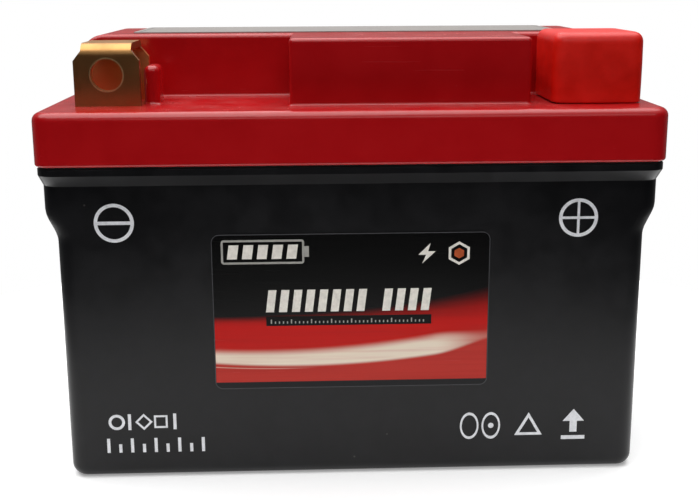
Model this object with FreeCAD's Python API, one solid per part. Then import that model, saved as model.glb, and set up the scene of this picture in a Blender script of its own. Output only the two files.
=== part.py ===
import FreeCAD, Part
import math
import os

# Lithium motorcycle battery, in millimetres. X runs along the length, -Y is the front face with
# the polarity marks, Z is up. The origin is the middle of the underside.
# The 24 Wh battery of this class is about 107 long and 56 deep over the lid skirt.

# Overall sizes
LENGTH = 107.0          # over the lid skirt
WIDTH = 56.0            # over the lid skirt
HEIGHT = 77.6           # underside to the top of the raised lid

# Lid
SKIRT_HEIGHT = 9.1      # the bright band, from its lower edge to the terminal shelf
RAISE = 11.5            # the raised lid above the terminal shelf
SKIRT_RADIUS = 3.0      # plan corners of the skirt
SKIRT_TOP_FILLET = 1.5
SKIRT_LOW_FILLET = 0.5
LID_WALL = 2.2
END_INSET = 3.8         # each end of the raised lid, in from the skirt
BACK_INSET = 2.1        # the back of the raised lid, in from the skirt
SHELF_DEPTH = 25.0      # front of the skirt to the wall behind the terminals
SHOULDER = 4.4          # rounded upper ends of the raised lid
FRONT_FILLET = 0.8
BACK_FILLET = 1.8
BASE_FILLET = 0.5       # where the raised lid meets the shelf
BLOCK_LENGTH = 41.8     # the centre block between the terminals
BLOCK_END = 22.4        # its right side, in from the skirt's right end
BLOCK_SETBACK = 7.9     # front of the skirt to the front of the block
BLOCK_FILLET = 0.7
RIB_WIDTH = 2.7         # the upright beside the negative terminal
RIB_HEIGHT = 6.7
RIB_DEPTH = 6.0
RIB_GAP = 0.2           # clear of the terminal's side
RIB_SETBACK = 2.6       # behind the terminal's front plate

# Case
CASE_WALL = 2.2
FLOOR = 2.5
FACE_SETBACK = 2.5      # front and back walls, in from the skirt
END_SETBACK = 2.5       # end walls, in from the skirt
COLLAR_SETBACK = 0.6    # ends of the collar below the lid, in from the skirt
RIM_SETBACK = 0.3       # flared rim that the lid sits on, in from the skirt
CASE_RADIUS = 3.0       # upright corners
BOTTOM_FILLET = 2.2
RIM_HEIGHT = 1.1
FLARE_HEIGHT = 2.1
COLLAR_HEIGHT = 4.1
STEP_HEIGHT = 5.8       # smooth step of the end walls below the collar
NECK_CLEAR = 0.5        # neck that rises inside the lid skirt, below the potting
NECK_GAP = 0.15
SEAL = 0.4              # sealing bead between the rim and the lid
SEAL_INSET = 0.6

# Terminals: each is one bent brass strip
TERMINAL_INSET = 11.4   # middle of each terminal, in from the skirt's end
TERMINAL_WIDTH = 11.3
TERMINAL_HEIGHT = 10.8  # above the shelf
TERMINAL_DEPTH = 12.0
TERMINAL_SETBACK = 9.6  # front of the skirt to the front plate
STRIP = 1.2             # thickness of the strip
BEND = 2.2              # outer radius of each bend
TOP_WIDTH = 8.6         # the plate between the bends is narrower
CORNER_RISE = 1.7       # height of the cut corners
CORNER_BELOW = 1.3      # top of the cut corners, below the top plate
HOLE_RADIUS = 2.75      # clearance hole for an M5 bolt
HOLE_RISE = 5.4         # above the shelf
FOOT = 1.0              # both plates are moulded this deep into the shelf
TAIL_WIDTH = 8.0
TAIL_REACH = 8.0        # the back plate's tail below the lid's underside
POTTING_HEIGHT = 2.5
POTTING_MARGIN = 2.0

# Soft cap over the positive terminal
CAP_WALL = 1.5
CAP_GAP = 0.8           # to the terminal's sides; the cap's ceiling rests on its top plate
CAP_SHIFT = 0.6         # the loose cap sits a little towards the end of the lid
CAP_LIFT_GAP = 0.1      # lower edge above the shelf
CAP_RADIUS = 1.8

# Cells and packing
CELL_COUNT = 4
BASE_PAD = 2.0
SIDE_PAD = 3.4
END_PAD = 4.0
SPACER = 1.0
PACK_GAP = 0.05         # pads and cells, so that they don't press on each other
ELECTRONICS_HEIGHT = 19.3   # from the cells' tops to the lid's underside
CELL_RADIUS = 1.6
SEAM_HEIGHT = 3.0       # sealed upper edge of a pouch cell
SEAM_THICKNESS = 1.2
SEAM_INSET = 3.0

# Parts on top of the cells
FRAME_THICKNESS = 2.0
FRAME_GAP = 0.5
TAB_INSET = 5.0         # middle of each tab, in from the end of the balance board
TAB_WIDTH = 8.0
TAB_THICKNESS = 0.6
TAB_SLOT_GAP = 0.2
LINK_THICKNESS = 0.8
LINK_OVERHANG = 2.6     # a link past the middle of the tab that it is welded to
STRAP_THICKNESS = 1.0
STRAP_RUN = 2.8         # width of the strap along the back wall
STRAP_EDGE_GAP = 0.6
RIVET_RADIUS = 1.5
RIVET_HEAD = 2.6
RIVET_HEAD_HEIGHT = 0.9

# Balance board
BOARD_END_GAP = 6.4     # to the terminals' tails
BOARD_SIDE_GAP = 6.6    # to the case
BOARD_THICKNESS = 1.6
BOARD_RADIUS = 2.0
POST_TAB_GAP = 5.0      # middle of a post to the side of a tab
POST_EDGE = 3.4         # board edge to the middle of a post
POST_HEIGHT = 6.0
POST_ACROSS = 5.0       # hexagon, corner to corner
SCREW_RADIUS = 1.1
SCREW_DEPTH = 4.0
SCREW_HEAD = 2.2
SCREW_HEAD_HEIGHT = 1.6
TRANSISTOR_COUNT = 4
TRANSISTOR_PITCH = 8.0
TRANSISTOR_SIZE = (6.5, 5.0, 1.6)
RESISTOR_PITCH = 5.5
RESISTOR_SIZE = (3.2, 6.4, 0.8)
CONTROL_CHIP_Y = 1.5
CONTROL_CHIP_SIZE = (10.0, 6.0, 1.8)
PIN_RADIUS = 0.6
PIN_PROUD = 0.8

# Labels
LABEL_LENGTH = 48.2
LABEL_SHIFT = -0.4      # the front label sits a little towards the negative end
LABEL_HEIGHT = 28.1
LABEL_BELOW = 8.6       # upper edge of the front label, below the collar
LABEL_RADIUS = 1.4
LABEL_FILM = 0.2
TOP_LABEL_END_GAP = 9.1    # to each end of the raised lid
TOP_LABEL_FRONT_GAP = 4.0
TOP_LABEL_BACK_GAP = 2.8

# Levels
shelf_z = HEIGHT - RAISE
skirt_z = shelf_z - SKIRT_HEIGHT
ceiling_z = shelf_z - LID_WALL
ledge_z = skirt_z - SEAL
flare_z = ledge_z - RIM_HEIGHT
collar_z = flare_z - FLARE_HEIGHT
step_top_z = collar_z - COLLAR_HEIGHT
step_low_z = step_top_z - STEP_HEIGHT
neck_z = ceiling_z - POTTING_HEIGHT - NECK_CLEAR

# Plan half sizes
skirt_x = LENGTH / 2
skirt_y = WIDTH / 2
body_x = skirt_x - END_SETBACK
body_y = skirt_y - FACE_SETBACK
inner_x = body_x - CASE_WALL
inner_y = body_y - CASE_WALL
inner_radius = max(CASE_RADIUS - CASE_WALL, 0.8)
lid_inner_x = skirt_x - LID_WALL
lid_inner_y = skirt_y - LID_WALL
lid_inner_radius = max(SKIRT_RADIUS - LID_WALL, 0.8)
block_right = skirt_x - BLOCK_END
block_left = block_right - BLOCK_LENGTH
wall_y = -skirt_y + SHELF_DEPTH
block_y = -skirt_y + BLOCK_SETBACK
raised_x = skirt_x - END_INSET
raised_back_y = skirt_y - BACK_INSET

# Terminals
terminal_x = skirt_x - TERMINAL_INSET
front_plate_y = -skirt_y + TERMINAL_SETBACK
back_plate_y = front_plate_y + TERMINAL_DEPTH
terminal_top_z = shelf_z + TERMINAL_HEIGHT
tail_z = ceiling_z - TAIL_REACH
rivet_z = (tail_z + ceiling_z - POTTING_HEIGHT) / 2
terminal_side = TERMINAL_WIDTH / 2
cap_x = terminal_x + CAP_SHIFT

# Cells
cell_base_z = FLOOR + BASE_PAD
cell_top_z = ceiling_z - ELECTRONICS_HEIGHT
cell_x = inner_x - END_PAD - PACK_GAP
stack_depth = 2 * (inner_y - SIDE_PAD - PACK_GAP)
cell_thickness = (stack_depth - (CELL_COUNT - 1) * SPACER) / CELL_COUNT - 2 * PACK_GAP
cell_pitch = (stack_depth + SPACER) / CELL_COUNT
first_cell_y = -cell_pitch * (CELL_COUNT - 1) / 2
link_z = cell_top_z + FRAME_THICKNESS
board_z = link_z + POST_HEIGHT
strap_back_y = inner_y - STRAP_EDGE_GAP

# Balance board and what stands on and under it
board_x = terminal_x - TAIL_WIDTH / 2 - BOARD_END_GAP
board_y = inner_y - BOARD_SIDE_GAP
tab_x = board_x - TAB_INSET
post_x = tab_x - TAB_WIDTH / 2 - POST_TAB_GAP
post_y = board_y - POST_EDGE
board_top_z = board_z + BOARD_THICKNESS


def box(x0, x1, y0, y1, z0, z1):
    return Part.makeBox(x1 - x0, y1 - y0, z1 - z0, FreeCAD.Vector(x0, y0, z0))


def rod(radius, start, along, length):
    return Part.makeCylinder(radius, length, FreeCAD.Vector(*start), FreeCAD.Vector(*along))


def outline(half_x, half_y, radius, z):
    """A rectangle with round corners, as a closed wire at height z."""
    edges = []
    corners = [(1, 1, 0), (-1, 1, 90), (-1, -1, 180), (1, -1, 270)]
    arcs = []
    for side_x, side_y, start in corners:
        centre = FreeCAD.Vector(side_x * (half_x - radius), side_y * (half_y - radius), z)
        points = []
        for degrees in (start, start + 45, start + 90):
            angle = math.radians(degrees)
            points.append(centre + FreeCAD.Vector(math.cos(angle), math.sin(angle), 0) * radius)
        arcs.append(points)
    for number, points in enumerate(arcs):
        edges.append(Part.Arc(*points).toShape())
        following = arcs[(number + 1) % len(arcs)]
        edges.append(Part.LineSegment(points[2], following[0]).toShape())
    return Part.Wire(edges)


def prism(half_x, half_y, radius, z0, z1):
    face = Part.Face(outline(half_x, half_y, radius, z0))
    return face.extrude(FreeCAD.Vector(0, 0, z1 - z0))


def plate(points, z0, z1):
    """A flat plate with straight sides."""
    corners = [FreeCAD.Vector(x, y, z0) for x, y in points]
    wire = Part.makePolygon(corners + corners[:1])
    return Part.Face(wire).extrude(FreeCAD.Vector(0, 0, z1 - z0))


def fillet(shape, radius, wanted):
    """Rounds the edges whose bounding box passes the test."""
    edges = [edge for edge in shape.Edges if wanted(edge.BoundBox)]
    return shape.makeFillet(radius, edges)


def near(one, other):
    return abs(one - other) < 1e-4


def fused(shapes):
    return shapes[0].fuse(shapes[1:]).removeSplitter()


def write(node, *solids):
    shape = solids[0] if len(solids) == 1 else Part.makeCompound(list(solids))
    shape.exportStep("parts/" + node + ".step")


def case():
    """Open box with a smooth step in its end walls, a flared rim and a neck for the lid."""
    body = prism(body_x, body_y, CASE_RADIUS, 0, step_low_z)
    body = fillet(body, BOTTOM_FILLET, lambda b: near(b.ZMin, 0) and near(b.ZMax, 0))
    collar_x = skirt_x - COLLAR_SETBACK
    rim_x = skirt_x - RIM_SETBACK
    rim_y = skirt_y - RIM_SETBACK
    sections = []
    steps = 8
    for number in range(steps + 1):
        share = number / steps
        eased = (1 - math.cos(math.pi * share)) / 2
        half_x = body_x + (collar_x - body_x) * eased
        sections.append(outline(half_x, body_y, CASE_RADIUS, step_low_z + STEP_HEIGHT * share))
    step = Part.makeLoft(sections, True, False)
    collar = prism(collar_x, body_y, CASE_RADIUS, step_top_z, collar_z)
    flare = Part.makeLoft([outline(collar_x, body_y, CASE_RADIUS, collar_z),
                           outline(rim_x, rim_y, SKIRT_RADIUS, flare_z)], True, True)
    rim = prism(rim_x, rim_y, SKIRT_RADIUS, flare_z, ledge_z)
    neck = prism(lid_inner_x - NECK_GAP, lid_inner_y - NECK_GAP, lid_inner_radius, ledge_z, neck_z)
    whole = body.fuse([step, collar, flare, rim, neck])
    return whole.cut(prism(inner_x, inner_y, inner_radius, FLOOR, neck_z + 1))


def raised_bar(inset, low_z, shoulder):
    """The long raised part of the lid, or its hollow when inset is the wall."""
    side = raised_x - inset
    top = HEIGHT - inset
    low = FreeCAD.Vector(-side, wall_y + inset, low_z)
    knee = FreeCAD.Vector(-side, wall_y + inset, top - shoulder)
    middle = shoulder * (1 - math.sqrt(0.5))
    bend = FreeCAD.Vector(-side + middle, wall_y + inset, top - middle)
    crown = FreeCAD.Vector(-side + shoulder, wall_y + inset, top)
    left = [low, knee, bend, crown]
    right = [FreeCAD.Vector(-p.x, p.y, p.z) for p in left]
    edges = [
        Part.LineSegment(left[0], left[1]).toShape(),
        Part.Arc(left[1], left[2], left[3]).toShape(),
        Part.LineSegment(left[3], right[3]).toShape(),
        Part.Arc(right[3], right[2], right[1]).toShape(),
        Part.LineSegment(right[1], right[0]).toShape(),
        Part.LineSegment(right[0], left[0]).toShape(),
    ]
    depth = raised_back_y - wall_y - 2 * inset
    return Part.Face(Part.Wire(edges)).extrude(FreeCAD.Vector(0, depth, 0))


def lid(terminals):
    """Hollow lid: skirt, raised bar, centre block and the upright beside the negative terminal."""
    skirt = prism(skirt_x, skirt_y, SKIRT_RADIUS, skirt_z, shelf_z)
    skirt = fillet(skirt, SKIRT_TOP_FILLET, lambda b: near(b.ZMin, shelf_z))
    skirt = fillet(skirt, SKIRT_LOW_FILLET, lambda b: near(b.ZMax, skirt_z))

    bar = raised_bar(0, ceiling_z, SHOULDER)
    bar = fillet(bar, FRONT_FILLET,
                 lambda b: near(b.YMax, wall_y) and not near(b.ZMax, ceiling_z))
    bar = fillet(bar, BACK_FILLET,
                 lambda b: near(b.YMin, raised_back_y) and not near(b.ZMax, ceiling_z))

    block_back_y = wall_y + 2 * LID_WALL
    block = box(block_left, block_right, block_y, block_back_y, ceiling_z, HEIGHT)
    block = fillet(block, BLOCK_FILLET,
                   lambda b: not near(b.ZMax, ceiling_z) and not near(b.YMin, block_back_y))

    rib_right = -terminal_x + terminal_side + RIB_GAP + RIB_WIDTH
    rib_y = front_plate_y + RIB_SETBACK
    rib = box(rib_right - RIB_WIDTH, rib_right, rib_y, rib_y + RIB_DEPTH, ceiling_z,
              shelf_z + RIB_HEIGHT)
    rib = fillet(rib, RIB_WIDTH * 0.4,
                 lambda b: not near(b.ZMin, ceiling_z) or near(b.ZMax, shelf_z + RIB_HEIGHT))

    shell = fused([skirt, bar, block, rib])
    shell = fillet(shell, BASE_FILLET, on_shelf)
    low_z = skirt_z - 1
    hollow = prism(lid_inner_x, lid_inner_y, lid_inner_radius, low_z, ceiling_z)
    bar_hollow = raised_bar(LID_WALL, ceiling_z - 1, SHOULDER - LID_WALL)
    block_hollow = box(block_left + LID_WALL, block_right - LID_WALL, block_y + LID_WALL,
                       wall_y + 2 * LID_WALL, ceiling_z - 1, HEIGHT - LID_WALL)
    shell = shell.cut(fused([hollow, bar_hollow, block_hollow]))
    for terminal in terminals:
        shell = shell.cut(terminal)
    return shell


def on_shelf(bounds):
    """Edges on the terminal shelf, inside its outline: where raised shapes meet the shelf."""
    flat = near(bounds.ZMin, shelf_z) and near(bounds.ZMax, shelf_z)
    inside_x = max(abs(bounds.XMin), abs(bounds.XMax)) < raised_x + 0.01
    inside_y = max(abs(bounds.YMin), abs(bounds.YMax)) < raised_back_y + 0.01
    return flat and inside_x and inside_y


def lid_seal():
    outer = prism(skirt_x - SEAL_INSET, skirt_y - SEAL_INSET, SKIRT_RADIUS - SEAL_INSET,
                  ledge_z, skirt_z)
    return outer.cut(prism(lid_inner_x, lid_inner_y, lid_inner_radius, ledge_z - 1, skirt_z + 1))


def terminal(centre_x):
    """A strip bent into an upside-down U, with a bolt hole in front and a tail behind."""
    outer = box(-terminal_side, terminal_side, front_plate_y, back_plate_y, tail_z, terminal_top_z)
    outer = fillet(outer, BEND, lambda b: near(b.ZMin, terminal_top_z) and b.XLength > 1)
    inner_top = terminal_top_z - STRIP
    inner = box(-terminal_side - 1, terminal_side + 1, front_plate_y + STRIP, back_plate_y - STRIP,
                tail_z - 1, inner_top)
    inner = fillet(inner, BEND - STRIP, lambda b: near(b.ZMin, inner_top) and b.XLength > 1)
    strip = outer.cut(inner)

    foot_z = shelf_z - FOOT
    strip = strip.cut(box(-terminal_side - 1, terminal_side + 1, front_plate_y - 1,
                          front_plate_y + STRIP + 1, tail_z - 1, foot_z))
    corner_z = terminal_top_z - CORNER_BELOW
    for side in (-1, 1):
        points = [(side * terminal_side, corner_z - CORNER_RISE),
                  (side * TOP_WIDTH / 2, corner_z),
                  (side * TOP_WIDTH / 2, terminal_top_z + 1),
                  (side * (terminal_side + 1), terminal_top_z + 1),
                  (side * (terminal_side + 1), corner_z - CORNER_RISE)]
        corners = [FreeCAD.Vector(x, front_plate_y - 1, z) for x, z in points]
        face = Part.Face(Part.makePolygon(corners + corners[:1]))
        strip = strip.cut(face.extrude(FreeCAD.Vector(0, TERMINAL_DEPTH + 2, 0)))
        edge = sorted((side * TAIL_WIDTH / 2, side * (terminal_side + 1)))
        strip = strip.cut(box(edge[0], edge[1], back_plate_y - STRIP - 1, back_plate_y + 1,
                              tail_z - 1, foot_z))
    strip = strip.cut(rod(HOLE_RADIUS, (0, front_plate_y - 1, shelf_z + HOLE_RISE), (0, 1, 0),
                          STRIP + 2))
    strip = strip.cut(rod(RIVET_RADIUS, (0, back_plate_y - STRIP - 1, rivet_z), (0, 1, 0),
                          STRIP + 2))
    strip.translate(FreeCAD.Vector(centre_x, 0, 0))
    return strip


def potting(centre_x, strip):
    """Sealing compound round a terminal's tail, against the lid's underside."""
    half = TAIL_WIDTH / 2 + POTTING_MARGIN
    block = box(centre_x - half, centre_x + half, back_plate_y - STRIP - POTTING_MARGIN,
                back_plate_y + POTTING_MARGIN, ceiling_z - POTTING_HEIGHT, ceiling_z)
    return block.cut(strip)


def positive_cap():
    """Soft cap, open below, that drops over the positive terminal."""
    half = terminal_side + CAP_GAP
    front = front_plate_y - CAP_GAP
    back = back_plate_y + CAP_GAP
    top = terminal_top_z
    low = shelf_z + CAP_LIFT_GAP
    outer = box(cap_x - half - CAP_WALL, cap_x + half + CAP_WALL, front - CAP_WALL,
                back + CAP_WALL, low, top + CAP_WALL)
    outer = fillet(outer, CAP_RADIUS, lambda b: not near(b.ZMax, low))
    inner = box(cap_x - half, cap_x + half, front, back, low - 1, top)
    inner = fillet(inner, CAP_RADIUS - CAP_WALL, lambda b: not near(b.ZMax, low - 1))
    return outer.cut(inner)


def cell_y(number):
    return first_cell_y + number * cell_pitch


def cell(number):
    """Pouch cell standing on its long edge, with a sealed seam along the top."""
    middle = cell_y(number)
    half = cell_thickness / 2
    body = box(-cell_x, cell_x, middle - half, middle + half, cell_base_z, cell_top_z - SEAM_HEIGHT)
    body = body.makeFillet(CELL_RADIUS, body.Edges)
    seam = box(-cell_x + SEAM_INSET, cell_x - SEAM_INSET, middle - SEAM_THICKNESS / 2,
               middle + SEAM_THICKNESS / 2, cell_top_z - SEAM_HEIGHT - 1, cell_top_z)
    return fused([body, seam])


def cell_spacers():
    spacers = []
    for number in range(CELL_COUNT - 1):
        middle = (cell_y(number) + cell_y(number + 1)) / 2
        spacers.append(box(-cell_x + CELL_RADIUS, cell_x - CELL_RADIUS, middle - SPACER / 2,
                           middle + SPACER / 2, cell_base_z, cell_top_z - SEAM_HEIGHT - 1))
    return spacers


def side_pads():
    pads = []
    for side in (-1, 1):
        edges = sorted((side * (inner_y - SIDE_PAD), side * inner_y))
        pads.append(box(-cell_x + CELL_RADIUS, cell_x - CELL_RADIUS, edges[0], edges[1],
                        cell_base_z, cell_top_z - SEAM_HEIGHT - 1))
    return pads


def end_pads():
    pads = []
    depth = inner_y - SIDE_PAD - 1
    for side in (-1, 1):
        edges = sorted((side * (inner_x - END_PAD), side * inner_x))
        pads.append(box(edges[0], edges[1], -depth, depth, cell_base_z,
                        cell_top_z - SEAM_HEIGHT - 1))
    return pads


def base_pad():
    return prism(inner_x - FRAME_GAP, inner_y - FRAME_GAP, inner_radius, FLOOR, cell_base_z)


def tab(x, y, growth):
    return box(x - TAB_WIDTH / 2 - growth, x + TAB_WIDTH / 2 + growth,
               y - TAB_THICKNESS / 2 - growth, y + TAB_THICKNESS / 2 + growth, cell_top_z, link_z)


def tab_places():
    return [(side * tab_x, cell_y(number)) for number in range(CELL_COUNT) for side in (-1, 1)]


def cell_frame():
    """Plate over the cells, with a slot for each tab."""
    frame = prism(inner_x - FRAME_GAP, inner_y - FRAME_GAP, inner_radius, cell_top_z, link_z)
    return frame.cut([tab(x, y, TAB_SLOT_GAP) for x, y in tab_places()])


def link(number):
    """Bar from one cell's tab to the next cell's, at alternate ends."""
    x = tab_x if number % 2 == 0 else -tab_x
    return box(x - TAB_WIDTH / 2, x + TAB_WIDTH / 2, cell_y(number) - LINK_OVERHANG,
               cell_y(number + 1) + LINK_OVERHANG, link_z, link_z + LINK_THICKNESS)


def strap_riser(centre_x):
    """Upright end of a strap, flat against the back of the terminal's tail."""
    half = TAIL_WIDTH / 2
    riser = box(centre_x - half, centre_x + half, back_plate_y, back_plate_y + STRAP_THICKNESS,
                link_z, ceiling_z - POTTING_HEIGHT - 0.5)
    return riser.cut(rod(RIVET_RADIUS, (centre_x, back_plate_y - 1, rivet_z), (0, 1, 0),
                         STRAP_THICKNESS + 2))


def negative_strap():
    """From the first cell's tab to the negative terminal's tail."""
    front = cell_y(0) - LINK_OVERHANG
    left = -terminal_x - TAIL_WIDTH / 2
    points = [(-tab_x + TAB_WIDTH / 2, front),
              (-tab_x + TAB_WIDTH / 2, cell_y(0) + LINK_OVERHANG),
              (-terminal_x + TAIL_WIDTH / 2, cell_y(0) + LINK_OVERHANG),
              (-terminal_x + TAIL_WIDTH / 2, back_plate_y + STRAP_THICKNESS),
              (left, back_plate_y + STRAP_THICKNESS),
              (left, front)]
    foot = plate(points, link_z, link_z + STRAP_THICKNESS)
    return fused([foot, strap_riser(-terminal_x)])


def positive_strap():
    """From the last cell's tab, along the back wall, to the positive terminal's tail."""
    last = cell_y(CELL_COUNT - 1)
    run = strap_back_y - STRAP_RUN
    half = TAIL_WIDTH / 2
    points = [(-tab_x - TAB_WIDTH / 2, last - LINK_OVERHANG),
              (-tab_x + TAB_WIDTH / 2, last - LINK_OVERHANG),
              (-tab_x + TAB_WIDTH / 2, run),
              (terminal_x - half, run),
              (terminal_x - half, back_plate_y),
              (terminal_x + half, back_plate_y),
              (terminal_x + half, strap_back_y),
              (-tab_x - TAB_WIDTH / 2, strap_back_y)]
    foot = plate(points, link_z, link_z + STRAP_THICKNESS)
    return fused([foot, strap_riser(terminal_x)])


def rivet(centre_x):
    """Rivet through a tail and its strap, with a head on both sides."""
    front = back_plate_y - STRIP
    back = back_plate_y + STRAP_THICKNESS
    shank = rod(RIVET_RADIUS, (centre_x, front - RIVET_HEAD_HEIGHT, rivet_z), (0, 1, 0),
                back - front + 2 * RIVET_HEAD_HEIGHT)
    near_head = rod(RIVET_HEAD, (centre_x, front - RIVET_HEAD_HEIGHT, rivet_z), (0, 1, 0),
                    RIVET_HEAD_HEIGHT)
    far_head = rod(RIVET_HEAD, (centre_x, back, rivet_z), (0, 1, 0), RIVET_HEAD_HEIGHT)
    return fused([shank, near_head, far_head])


def post_places():
    return [(x, y) for x in (-post_x, post_x) for y in (-post_y, post_y)]


def pin_places():
    """One sensing pin on each link and each strap."""
    places = []
    for number in range(CELL_COUNT - 1):
        x = tab_x if number % 2 == 0 else -tab_x
        places.append((x, (cell_y(number) + cell_y(number + 1)) / 2, link_z + LINK_THICKNESS))
    places.append((-tab_x, cell_y(0), link_z + STRAP_THICKNESS))
    places.append((-tab_x, cell_y(CELL_COUNT - 1), link_z + STRAP_THICKNESS))
    return places


def balance_board():
    board = prism(board_x, board_y, BOARD_RADIUS, board_z, board_top_z)
    holes = [rod(SCREW_RADIUS, (x, y, board_z - 1), (0, 0, 1), BOARD_THICKNESS + 2)
             for x, y in post_places()]
    holes += [rod(PIN_RADIUS, (x, y, board_z - 1), (0, 0, 1), BOARD_THICKNESS + 2)
              for x, y, base in pin_places()]
    return board.cut(holes)


def board_post(x, y):
    corners = []
    for number in range(6):
        angle = math.radians(60 * number)
        corners.append((x + POST_ACROSS / 2 * math.cos(angle), y + POST_ACROSS / 2 * math.sin(angle)))
    post = plate(corners, link_z, board_z)
    depth = SCREW_DEPTH - BOARD_THICKNESS
    return post.cut(rod(SCREW_RADIUS, (x, y, board_z - depth), (0, 0, 1), depth))


def board_screw(x, y):
    """Pan-head screw with a cross recess."""
    top = board_top_z
    shank = rod(SCREW_RADIUS, (x, y, top - SCREW_DEPTH), (0, 0, 1), SCREW_DEPTH)
    head = rod(SCREW_HEAD, (x, y, top), (0, 0, 1), SCREW_HEAD_HEIGHT)
    head = fillet(head, SCREW_HEAD_HEIGHT / 2, lambda b: near(b.ZMin, top + SCREW_HEAD_HEIGHT))
    screw = fused([shank, head])
    arm = SCREW_HEAD * 0.6
    slot = SCREW_HEAD * 0.12
    floor = top + SCREW_HEAD_HEIGHT / 2
    screw = screw.cut(box(x - arm, x + arm, y - slot, y + slot, floor, floor + SCREW_HEAD_HEIGHT))
    return screw.cut(box(x - slot, x + slot, y - arm, y + arm, floor, floor + SCREW_HEAD_HEIGHT))


def chip(x, y, length, depth, height):
    """A component that stands on the balance board."""
    return box(x - length / 2, x + length / 2, y - depth / 2, y + depth / 2,
               board_top_z, board_top_z + height)


def switch_transistors():
    return [chip((number - (TRANSISTOR_COUNT - 1) / 2) * TRANSISTOR_PITCH, -board_y / 2,
                 *TRANSISTOR_SIZE) for number in range(TRANSISTOR_COUNT)]


def bleed_resistors():
    """One for each cell."""
    return [chip((number - (CELL_COUNT - 1) / 2) * RESISTOR_PITCH, board_y * 2 / 3,
                 *RESISTOR_SIZE) for number in range(CELL_COUNT)]


def control_chip():
    return chip(0, CONTROL_CHIP_Y, *CONTROL_CHIP_SIZE)


def front_label():
    film = prism(LABEL_LENGTH / 2, LABEL_HEIGHT / 2, LABEL_RADIUS, 0, LABEL_FILM)
    film.rotate(FreeCAD.Vector(0, 0, 0), FreeCAD.Vector(1, 0, 0), 90)
    film.translate(FreeCAD.Vector(LABEL_SHIFT, -body_y, collar_z - LABEL_BELOW - LABEL_HEIGHT / 2))
    return film


def top_label():
    half_x = raised_x - TOP_LABEL_END_GAP
    front = wall_y + TOP_LABEL_FRONT_GAP
    back = raised_back_y - TOP_LABEL_BACK_GAP
    film = prism(half_x, (back - front) / 2, LABEL_RADIUS, HEIGHT, HEIGHT + LABEL_FILM)
    film.translate(FreeCAD.Vector(0, (front + back) / 2, 0))
    return film


def main():
    os.makedirs("parts", exist_ok=True)
    negative = terminal(-terminal_x)
    positive = terminal(terminal_x)
    write("case", case())
    write("lid", lid([negative, positive]))
    write("lid_seal", lid_seal())
    write("negative_terminal", negative)
    write("positive_terminal", positive)
    write("terminal_potting", potting(-terminal_x, negative), potting(terminal_x, positive))
    write("positive_cap", positive_cap())
    write("front_label", front_label())
    write("top_label", top_label())
    for number in range(CELL_COUNT):
        write("cell_" + str(number + 1), cell(number))
    write("cell_spacers", *cell_spacers())
    write("side_pads", *side_pads())
    write("end_pads", *end_pads())
    write("base_pad", base_pad())
    write("cell_frame", cell_frame())
    write("cell_tabs", *[tab(x, y, 0) for x, y in tab_places()])
    write("series_links", *[link(number) for number in range(CELL_COUNT - 1)])
    write("negative_strap", negative_strap())
    write("positive_strap", positive_strap())
    write("strap_rivets", rivet(-terminal_x), rivet(terminal_x))
    write("balance_board", balance_board())
    write("board_posts", *[board_post(x, y) for x, y in post_places()])
    write("board_screws", *[board_screw(x, y) for x, y in post_places()])
    write("switch_transistors", *switch_transistors())
    write("bleed_resistors", *bleed_resistors())
    write("control_chip", control_chip())
    pin_top = board_top_z + PIN_PROUD
    write("sense_pins", *[rod(PIN_RADIUS, (x, y, base), (0, 0, 1), pin_top - base)
                          for x, y, base in pin_places()])


main()
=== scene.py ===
"""Finishes and printed details of a small lithium motorcycle battery, built round its fixed frame."""
import math

import bmesh
import bpy
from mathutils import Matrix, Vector, noise


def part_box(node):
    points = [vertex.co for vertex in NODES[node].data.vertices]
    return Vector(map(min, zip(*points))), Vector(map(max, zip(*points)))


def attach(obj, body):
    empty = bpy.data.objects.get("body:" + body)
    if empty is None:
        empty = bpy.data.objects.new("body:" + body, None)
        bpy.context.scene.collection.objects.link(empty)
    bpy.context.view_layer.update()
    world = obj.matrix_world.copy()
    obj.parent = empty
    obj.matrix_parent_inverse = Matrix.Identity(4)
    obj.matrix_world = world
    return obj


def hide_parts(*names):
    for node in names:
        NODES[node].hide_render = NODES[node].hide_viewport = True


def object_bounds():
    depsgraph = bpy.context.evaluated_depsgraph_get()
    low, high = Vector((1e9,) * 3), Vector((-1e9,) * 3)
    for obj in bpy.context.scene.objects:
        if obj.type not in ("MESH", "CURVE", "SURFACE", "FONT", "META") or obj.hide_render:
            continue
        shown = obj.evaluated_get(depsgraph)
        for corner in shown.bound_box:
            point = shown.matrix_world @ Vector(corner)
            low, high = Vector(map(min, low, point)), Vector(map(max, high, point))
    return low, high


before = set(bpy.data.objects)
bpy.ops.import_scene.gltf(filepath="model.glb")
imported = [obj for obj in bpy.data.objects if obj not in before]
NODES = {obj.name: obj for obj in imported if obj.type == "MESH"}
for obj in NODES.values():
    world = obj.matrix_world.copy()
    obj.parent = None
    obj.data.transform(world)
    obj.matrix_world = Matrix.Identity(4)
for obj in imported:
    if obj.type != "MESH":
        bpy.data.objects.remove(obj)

bl_info = {
    "name": "Motorcycle Battery Finishes",
    "version": (1, 0, 0),
    "blender": (4, 5, 0),
    "location": "3D View > Sidebar > Battery",
    "description": "Gives a lithium motorcycle battery its plastics, brass, label and printed marks",
    "category": "Object",
}

MM = 0.001
LOW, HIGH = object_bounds()
LABEL_LOW, LABEL_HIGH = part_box("front_label")
CASE_FRONT = LABEL_HIGH.y
TOP_LABEL_LOW, TOP_LABEL_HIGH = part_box("top_label")
CAP_LOW, CAP_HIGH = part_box("positive_cap")

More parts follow.
